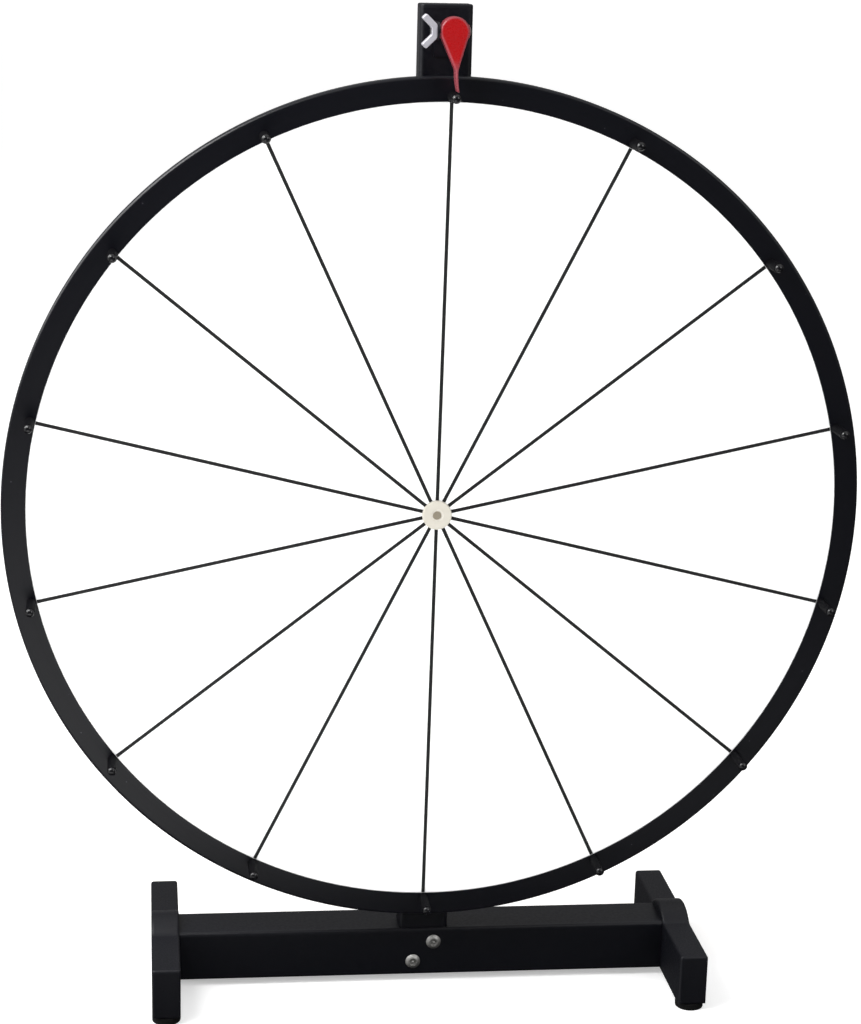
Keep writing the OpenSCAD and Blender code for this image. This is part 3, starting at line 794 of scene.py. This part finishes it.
@dataclass
class Hub(Assembly):
    """The fixed axle, the bearings on it, the turning flange and the round nut. Sizes in millimetres."""

    bore_r: float = 3.06
    bore_edge_r: float = 0.1
    collar_r: float = 5.2
    collar_edge_r: float = 0.2
    face_gap: float = 0.4
    back_edge_r: float = 0.3
    front_edge_r: float = 0.9
    dish_r: float = 4.6
    dish_t: float = 0.25
    dish_slope: float = 0.8
    dish_edge_r: float = 0.4
    dish_foot_r: float = 0.2

    def build(self) -> None:
        """Builds the round nut and dresses the axle, bearings and flange."""
        self.put("hub_round_nut", [self.nut()], CREAM_NYLON, ["hub_nut"], Body.STAND)
        self.dress(YELLOW_ZINC, "axle_bolt")
        self.dress(ZINC_PLATE, "axle_washer", "axle_sleeve", "axle_spacer", "hub_flange", "hub_screws")
        self.dress(BEARING_STEEL, "front_bearing_inner", "rear_bearing_inner", "front_bearing_outer",
                   "rear_bearing_outer")

    def nut(self) -> Shell:
        """Makes the round nut, turned from a closed profile: a collar behind, a rounded flange and a dish.

        Returns:
            A closed shell.
        """
        low, high = box_mm("hub_nut")
        radius, front = (high[0] - low[0]) / 2, high[1] - low[1]
        back = high[1] - (box_mm("board_face")[0][1] - self.face_gap)
        dish_foot = self.dish_r - self.dish_slope
        bottom = front - self.dish_t
        corners = [[self.bore_r, 0], [self.collar_r, 0], [self.collar_r, back], [radius, back],
                   [radius, front], [self.dish_r, front], [dish_foot, bottom], [self.bore_r, bottom]]
        radii = [self.bore_edge_r, self.collar_edge_r, self.collar_edge_r, self.back_edge_r,
                 self.front_edge_r, self.dish_edge_r, self.dish_foot_r, self.bore_edge_r]
        profile, _ = round_corners(corners, radii)
        return lathe(profile, (0, high[1], hub_height()), FACING, steps=96, ring=True)


@dataclass
class Wheel(Assembly):
    """The board with its white face, edging, lines and pegs. Sizes in millimetres."""

    band_w: float = 17.2
    back_band_w: float = 9.3
    lip_t: float = 1.0
    edging_wall: float = 2.5
    edge_r: float = 2.2
    lip_edge_r: float = 0.35
    channel_r: float = 0.2
    pegs: int = 14
    flare_w: float = 0.1
    flare_h: float = 0.4
    flare_top: float = 1.2
    rubbed_share: float = 0.5
    # Cut 2 mm wide, and drawn wider because a thin dark line on white loses weight at the picture's size
    line_w: float = 2.5
    line_start: float = 10.4
    line_gap: float = 0.2
    line_edge_r: float = 0.1

    def build(self) -> None:
        """Builds the edging, the pegs and the lines, and dresses the board and its face."""
        self.put("rim_edging", [self.edging()], EXTRUDED_EDGING, ["rim_trim"], Body.WHEEL)
        nodes = [f"peg_{number:02d}" for number in range(1, self.pegs + 1)]
        for node in nodes:
            self.rub_tip(self.put(f"nylon_{node}", [self.peg(node)], TEXTURED_NYLON, [node], Body.WHEEL))
        self.put("lining_tape", [self.line(node) for node in nodes], LINE_TAPE, ["divider_lines"], Body.WHEEL)
        self.dress(FIBREBOARD, "wheel_board")
        self.dress(DRY_WIPE, "board_face")
        self.dress(ZINC_PLATE, "peg_screws")

    def line(self, node: str) -> Shell:
        """Makes a strip of tape from the round nut to the edging, along the ray from the hub to a peg.

        The strip is a rectangle on the board, carried outwards by the tape's thickness, with a rounded front
        edge.

        Args:
            node: the CAD peg at the end of the ray.
        Returns:
            A closed shell.
        """
        low, high = box_mm("divider_lines")
        peg = sum(box_mm(node)) / 2 - (0, 0, hub_height())
        ray = np.array([peg[0], 0, peg[2]]) / math.hypot(peg[0], peg[2])
        axes = np.array([ray, [-ray[2], 0, ray[0]], FACING[2]])
        rim_low, rim_high = box_mm("rim_trim")
        end = (rim_high[0] - rim_low[0]) / 2 - self.band_w - self.line_gap
        middle = ((end + self.line_start) / 2, 0)
        outline = rectangle(end - self.line_start, self.line_w, self.line_edge_r, middle)
        origin = (0, high[1], hub_height())
        return prism(outline, (0, high[1] - low[1]), (0, self.line_edge_r), origin, axes, steps=3)

    def edging(self) -> Shell:
        """Makes the edging: a channel section with rounded edges, carried round the hub.

        Returns:
            A closed shell.
        """
        low, high = box_mm("rim_trim")
        outer, thick = (high[0] - low[0]) / 2, high[1] - low[1]
        front, back, inner = outer - self.band_w, outer - self.back_band_w, outer - self.edging_wall
        corners = [[front, thick - self.lip_t], [inner, thick - self.lip_t], [inner, self.lip_t],
                   [back, self.lip_t], [back, 0], [outer, 0], [outer, thick], [front, thick]]
        radii = [self.lip_edge_r, self.channel_r, self.channel_r, self.lip_edge_r,
                 self.lip_edge_r, self.edge_r, self.edge_r, self.lip_edge_r]
        profile, _ = round_corners(corners, radii)
        return lathe(profile, (0, high[1], hub_height()), FACING, steps=288, ring=True)

    def peg(self, node: str) -> Shell:
        """Makes a peg turned from a profile: a small flare at its foot, a straight side and a round tip.

        Args:
            node: the CAD peg.
        Returns:
            A closed shell.
        """
        low, high = box_mm(node)
        radius, length = (high[0] - low[0]) / 2, high[1] - low[1]
        slim = radius - self.flare_w
        profile = np.concatenate([
            [[0, 0], [radius, 0], [radius, self.flare_h], [slim, self.flare_top]],
            quarter((0, length - slim), slim, 0, steps=12)])
        middle = (low + high) / 2
        return lathe(profile, (middle[0], high[1], middle[2]), FACING, steps=48)

    def rub_tip(self, piece: bpy.types.Object) -> None:
        """Gives the polished finish to the end of a peg's round tip, down to a share of its radius.

        Args:
            piece: the peg.
        """
        mesh = piece.data
        mesh.materials.append(POLISHED_NYLON.material())
        across, depth, _ = read_places(mesh.vertices, "co").T
        radius = (across.max() - across.min()) / 2
        rubbed = read_places(mesh.polygons, "center")[:, 1] < depth.min() + self.rubbed_share * radius
        mesh.polygons.foreach_set("material_index", rubbed.astype(np.int32))


@dataclass
class Pointer(Assembly):
    """The flexible pointer on its bracket, with its bolt and wing nut. Sizes in millimetres."""

    head_r: float = 9.8
    neck_t: float = 1.8
    tip_t: float = 1.2
    neck_shift: float = 1.9
    edge_r: float = 1.8
    edge_share: float = 0.8
    head_steps: int = 39
    side_steps: int = 13
    blade_steps: int = 16
    tip_steps: int = 8
    # Painted highlight on the pointer: its depth in from the flat faces, its strength at the edges and on the
    # blade, and its rise above the neck
    highlight_depth: float = 0.2
    highlight_edge: float = 0.65
    highlight_blade: float = 0.85
    highlight_rise: float = 7.0
    boss_r: float = 4.5
    boss_edge_r: float = 0.25
    wing_t: float = 4.0
    wing_l: float = 9.5
    wing_lean: float = 44.0
    wing_base_r: float = 5.4
    wing_edge_r: float = 0.4
    wing_end_r: float = 0.9
    wing_bend_r: float = 0.8
    nut_boss_l: float = 4.0
    nut_end_r: float = 0.8
    nut_seat_r: float = 0.3

    def build(self) -> None:
        """Builds the pointer and the wing nut, and dresses the bracket and its hardware."""
        low, high = box_mm("pointer_blade")
        nodes = ["pointer_head", "pointer_blade"]
        pointer = self.put("red_pointer", [self.drop(), self.boss()], FLEXIBLE_RED, nodes)
        # Paints a pale highlight on the pointer's edges and bent blade
        self.paint_edge_highlight(pointer, high[2])
        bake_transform(pointer)
        self.put("wing_nut_strip", self.nut(), NICKEL_PLATE, ["wing_nut"], Body.NUT)
        self.dress(POWDER_COAT, "pointer_bracket")
        self.dress(ZINC_PLATE, "bracket_screws", "clamp_bolt")

    def drop(self) -> Shell:
        """Makes the pointer's body: a drop that narrows into a bent blade, carried from back to front.

        The outline runs down one side and up the other. A side is the head's arc, its tangent to the neck's
        corner, and the blade, whose middle moves aside with the square of the distance from the neck. The
        edge radius is a share of the half thickness where the body is thin.

        Returns:
            A closed shell.
        """
        low, high = box_mm("pointer_head")
        tip_low, tip_high = box_mm("pointer_blade")
        middle = (low[0] + high[0]) / 2
        neck, centre = tip_high[2], high[2] - self.head_r
        tip = tip_low[2] + self.tip_t / 2
        bend = tip_high[0] - self.tip_t / 2 - middle - self.neck_shift
        share = np.linspace(0, 1, self.blade_steps + 1)
        swing = np.linspace(np.pi / 2, 0, self.tip_steps + 1)[1:]
        half_t = (self.neck_t + (self.tip_t - self.neck_t) * share) / 2
        blade_half = np.concatenate([half_t, self.tip_t / 2 * np.sin(swing)])
        blade_z = np.concatenate([neck + (tip - neck) * share, tip - self.tip_t / 2 * np.cos(swing)])
        blade_x = self.neck_shift + bend * ((neck - blade_z) / (neck - tip)) ** 2
        sides = []
        for sign in (-1, 1):
            corner = np.array([sign * self.neck_shift + self.neck_t / 2, neck - centre])
            last = np.pi - math.atan2(corner[0], -corner[1]) - math.acos(self.head_r / np.linalg.norm(corner))
            arc = np.linspace(0, last, self.head_steps + 1)
            head = self.head_r * np.stack([np.sin(arc), np.cos(arc)], axis=-1)
            fall = head[-1] + (corner - head[-1]) * np.linspace(0, 1, self.side_steps + 1)[1:-1, None]
            blade = np.stack([sign * blade_x + blade_half, blade_z - centre], axis=-1)
            sides.append(np.concatenate([head, fall, blade]) * (sign, 1) + (middle, centre))
        points = np.concatenate([sides[0], sides[1][-2:0:-1]])
        half = (sides[1][:, 0] - sides[0][:, 0]) / 2
        tangent = np.roll(points, -1, axis=0) - np.roll(points, 1, axis=0)
        normals = np.stack([tangent[:, 1], -tangent[:, 0]], axis=-1)
        normals /= np.linalg.norm(normals, axis=1, keepdims=True)
        thick = np.clip(np.concatenate([half, half[-2:0:-1]]), self.tip_t / 2, None)
        thick = np.where(points[:, 1] > centre, self.head_r, thick)
        edges = np.minimum(self.edge_r, self.edge_share * thick)
        reach = (0, high[1] - low[1])
        return prism((points, normals), reach, (edges, edges), (0, high[1], 0), FACING, ladder=True)

    def paint_edge_highlight(self, piece: bpy.types.Object, neck: float) -> None:
        """Paints a highlight on the pointer: the share of the pale colour rises from its flat faces inwards,
        and down to the neck.

        Args:
            piece: the pointer.
            neck: height of the neck.
        """
        mesh = piece.data
        _, depth, height = read_places(mesh.vertices, "co").T
        edge = np.clip(np.minimum(depth - depth.min(), depth.max() - depth) / self.highlight_depth, 0, 1)
        bent = np.clip((neck + self.highlight_rise - height) / self.highlight_rise, 0, 1)
        # Painted highlight: the share of the pale colour at each point
        mark = mesh.attributes.new("painted_highlight", "FLOAT", "POINT")
        mark.data.foreach_set("value", np.maximum(edge * self.highlight_edge, bent * self.highlight_blade))

    def boss(self) -> Shell:
        """Makes the boss round the clamp bolt, turned about the bolt: a short cylinder with rounded ends.

        Returns:
            A closed shell.
        """
        low, high = box_mm("pointer_head")
        edge, side = self.boss_edge_r, self.boss_r - self.boss_edge_r
        profile = np.concatenate([
            [[0, low[0]]], quarter((side, low[0] + edge), edge, -90, steps=3),
            quarter((side, high[0] - edge), edge, 0, steps=3), [[0, high[0]]]])
        return lathe(profile, (0, (low[1] + high[1]) / 2, high[2] - self.head_r), SIDEWAYS)

    def nut(self) -> list[Shell]:
        """Makes the wing nut: a bent strip carried from back to front, and the boss turned about the bolt.

        The strip's outline is its bent middle line, moved half its thickness to both sides and rounded.

        Returns:
            A closed shell for each.
        """
        low, high = box_mm("wing_nut")
        right, axis_z, depth = high[0], (low[2] + high[2]) / 2, high[1] - low[1]
        lean = math.radians(self.wing_lean)
        out = np.array([-math.cos(lean), math.sin(lean)])
        normal = np.array([out[1], -out[0]])
        knee = np.array([right - self.wing_t / 2, axis_z + self.wing_base_r - self.wing_t / 2])
        end = knee + out * self.wing_l
        side = normal * self.wing_t / 2
        mitre = (np.array([1.0, 0.0]) + normal) * (self.wing_t / 2 / (1 + out[1]))
        upper = np.array([knee + mitre, end + side, end - side, knee - mitre])
        lower = upper[::-1] * (1, -1) + (0, 2 * axis_z)
        radii = [self.wing_t, self.wing_end_r, self.wing_end_r, self.wing_bend_r]
        outline = round_corners(np.concatenate([upper, lower]), radii + radii[::-1])
        edges = (self.wing_edge_r, self.wing_edge_r)
        strip = prism(outline, (0, depth), edges, (0, high[1], 0), FACING)
        boss_r, left, end_r, seat_r = depth / 2, right - self.nut_boss_l, self.nut_end_r, self.nut_seat_r
        profile = np.concatenate([
            [[0, left]], quarter((boss_r - end_r, left + end_r), end_r, -90, steps=4),
            quarter((boss_r - seat_r, right - seat_r), seat_r, 0, steps=3), [[0, right]]])
        return [strip, lathe(profile, (0, (low[1] + high[1]) / 2, axis_z), SIDEWAYS)]


@dataclass(frozen=True)
class Viewpoint:
    """Where the photograph was taken from: millimetres, degrees, and pixels of its frame."""

    place: Place = (-204.7, -1586.0, 760.2)
    yaw: float = 6.096
    pitch: float = 14.474
    roll: float = -1.162
    focal_px: float = 2285.1
    axis_px: tuple[float, float] = (382.1, 526.4)
    frame_px: tuple[int, int] = (861, 1024)
    sensor_mm: float = 36.0

    def camera(self) -> None:
        """Makes the camera: axes from the three angles, and lens and shift from the frame's pixels."""
        yaw, pitch, roll = np.radians([self.yaw, self.pitch, self.roll])
        ahead = np.array([math.sin(yaw) * math.cos(pitch), math.cos(yaw) * math.cos(pitch), -math.sin(pitch)])
        level = np.array([math.cos(yaw), -math.sin(yaw), 0.0])
        down = np.cross(ahead, level)
        right = level * math.cos(roll) + down * math.sin(roll)
        below = down * math.cos(roll) - level * math.sin(roll)
        data = bpy.data.cameras.new("photo camera")
        data.sensor_width = self.sensor_mm
        data.lens = self.focal_px / self.frame_px[1] * self.sensor_mm
        data.shift_x = (self.frame_px[0] / 2 - self.axis_px[0]) / self.frame_px[1]
        data.shift_y = (self.axis_px[1] - self.frame_px[1] / 2) / self.frame_px[1]
        camera = bpy.data.objects.new("photo camera", data)
        turned = Matrix(np.stack([right, -below, -ahead], axis=1).tolist()).to_4x4()
        camera.matrix_world = Matrix.Translation(Vector(self.place) * MM) @ turned
        bpy.context.scene.collection.objects.link(camera)
        bpy.context.scene.camera = camera


@dataclass(frozen=True)
class Softbox:
    """A rectangular studio light: place and aim in metres, size in metres and power in watts."""

    name: str
    place: Place
    aim: Place
    size: tuple[float, float]
    power: float

    def light(self) -> None:
        """Makes the light, turned to face its aim."""
        data = bpy.data.lights.new(self.name, "AREA")
        data.shape = "RECTANGLE"
        data.size, data.size_y = self.size
        data.energy = self.power
        lamp = bpy.data.objects.new(self.name, data)
        away = Vector(self.aim) - Vector(self.place)
        lamp.rotation_euler = away.to_track_quat("-Z", "Y").to_euler()
        lamp.location = self.place
        bpy.context.scene.collection.objects.link(lamp)


@dataclass(frozen=True)
class Glow:
    """A stretch of the studio's surroundings with its own light.

    Attributes:
        name: which stretch it is.
        toward: direction of its middle.
        starts: cosine of the angle from that direction at which its light starts.
        full: cosine of the angle at which its light is full.
        strength: its light.
        fade: how the light changes in between.
    """

    name: str
    toward: Place
    starts: float
    full: float
    strength: float
    fade: Fade = Fade.SOFT


@dataclass
class Studio:
    """The pale floor, the soft light and the camera. Floor sizes in metres."""

    view: Viewpoint = Viewpoint()
    floor_r: float = 24.0
    cove_r: float = 10.0
    dim: float = 0.045
    # Each covers those before it
    glows: tuple[Glow, ...] = (
        Glow("lit side", (0.9, 0.44, 0), 0, 0.8, 0.28),
        Glow("overhead", (0, 0, 1), 0.45, 0.9, 1.2),
        Glow("below", (0, 0, -1), -0.05, 0.05, 0.055, Fade.EVEN),
        Glow("left", (-1, 0, 0), 0.6, 0.85, 0.8),
        Glow("behind", (0, 1, 0), 0.93, 0.985, 0.45),
    )
    boxes: tuple[Softbox, ...] = (
        Softbox("key box", (-1.9, -0.15, 1.8), (0, 0, 0.45), (1.8, 1.8), 60),
        Softbox("fill box", (1.8, -1.9, 1.7), (0, 0, 0.35), (1.2, 1.2), 20),
        Softbox("clamp box", (-0.55, -0.4, 1.1), (0, 0, 0.7), (0.3, 0.3), 4.5),
        Softbox("left card", (-0.36, -0.785, 0.005), (-0.36, -0.785, 1), (0.72, 1.03), 3.7),
        Softbox("right card", (0.36, -0.56, 0.005), (0.36, -0.56, 1), (0.5, 0.65), 0.35),
    )

    def build(self) -> None:
        """Builds the floor, the sky and the lights, and sets the camera."""
        self.floor()
        self.sky()
        for box in self.boxes:
            box.light()
        self.view.camera()
        look = bpy.context.scene.view_settings
        look.view_transform = "Standard"
        look.look = "None"
        LOG.info("studio ready")

    def floor(self) -> None:
        """Makes the floor: a wide disc whose rim rises in a quarter circle, turned about the upright axis."""
        cove = quarter((self.floor_r, self.cove_r), self.cove_r, -90, steps=12)
        points, faces = lathe(np.concatenate([[[0, 0]], cove]), (0, 0, 0), UPRIGHT, steps=96)
        mesh = bpy.data.meshes.new("floor")
        # Without the last face, which would close the top
        mesh.from_pydata(points, [], faces[:-1])
        mesh.validate()
        mesh.shade_smooth()
        mesh.materials.append(STUDIO_PAPER.material())
        floor = bpy.data.objects.new("floor", mesh)
        floor.visible_glossy = False
        bpy.context.scene.collection.objects.link(floor)

    def sky(self) -> None:
        """Makes the studio's surroundings: dim, with each glow laid over those before it."""
        world = bpy.data.worlds.new("studio")
        world.use_nodes = True
        tree = world.node_tree
        tree.nodes.clear()
        toward = add_node(tree, "ShaderNodeTexCoord", {}).outputs["Generated"]
        strength = self.dim
        for glow in self.glows:
            facing = add_node(tree, "ShaderNodeVectorMath", {0: toward, 1: glow.toward},
                              operation="DOT_PRODUCT")
            strength = add_node(tree, "ShaderNodeMapRange", {
                "Value": facing.outputs["Value"], "From Min": glow.starts, "From Max": glow.full,
                "To Min": strength, "To Max": glow.strength},
                label=glow.name, interpolation_type=glow.fade.value).outputs[0]
        light = add_node(tree, "ShaderNodeBackground", {"Strength": strength})
        add_node(tree, "ShaderNodeOutputWorld", {"Surface": light.outputs[0]})
        bpy.context.scene.world = world


def main() -> None:
    """Builds the sub-assemblies in order, then the studio."""
    logging.basicConfig(level=logging.INFO, format="%(name)s: %(message)s")
    for part in (Base(), Post(), Hub(), Wheel(), Pointer()):
        LOG.info("building %s", type(part).__name__)
        part.build()
    Studio().build()


if __name__ == "__main__":
    main()
